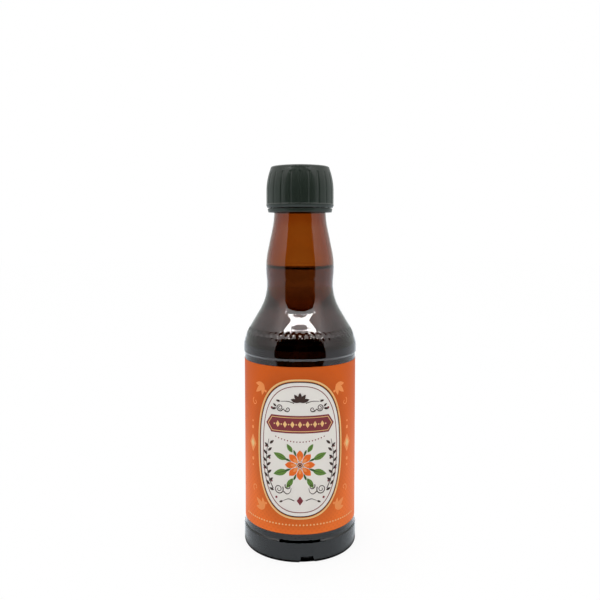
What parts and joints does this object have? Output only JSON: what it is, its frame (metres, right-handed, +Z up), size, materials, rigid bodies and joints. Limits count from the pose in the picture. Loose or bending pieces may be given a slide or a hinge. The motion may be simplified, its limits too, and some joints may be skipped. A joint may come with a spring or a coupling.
{
  "type": "bitters bottle",
  "caption": "Round amber glass bottle with a bulged neck, a wrap label, a dasher insert in its mouth and a fluted screw cap over a loose tamper band.",
  "frame": {"origin": "centre of the base, on the surface that the bottle stands on", "axes": "+Z up along the bottle's axis, with the middle of the label facing -Y"},
  "size_m": [0.0538, 0.0538, 0.1803],
  "materials": {
    "amber_glass": "polished",
    "insert_plastic": "satin",
    "cap_plastic": "satin",
    "liner_foam": "matte",
    "label_paper": "matte",
    "bitters_liquid": "gloss"
  },
  "bodies": {
    "bottle": {"bottle_glass": "amber_glass", "dasher_insert": "insert_plastic", "label": "label_paper", "bitters": "bitters_liquid"},
    "band": {"tamper_band": "cap_plastic"},
    "liner": {"cap_liner": "liner_foam"},
    "cap": {"cap_shell": "cap_plastic"}
  },
  "joints": [
    {"name": "band_spin", "type": "hinge", "parent": "bottle", "child": "band", "pos_m": [0, 0, 0.16], "axis": [0, 0, 1], "continuous": true},
    {"name": "cap_lift", "type": "slide", "parent": "bottle", "child": "liner", "axis": [0, 0, 1], "range_m": [0, 0.02223]},
    {"name": "cap_twist", "type": "hinge", "parent": "liner", "child": "cap", "pos_m": [0, 0, 0.17], "axis": [0, 0, 1], "range_deg": [0, 2520]}
  ],
  "couplings": [
    {"joint": "cap_lift", "follows": "cap_twist", "m_per_rad": 0.00050532}
  ]
}
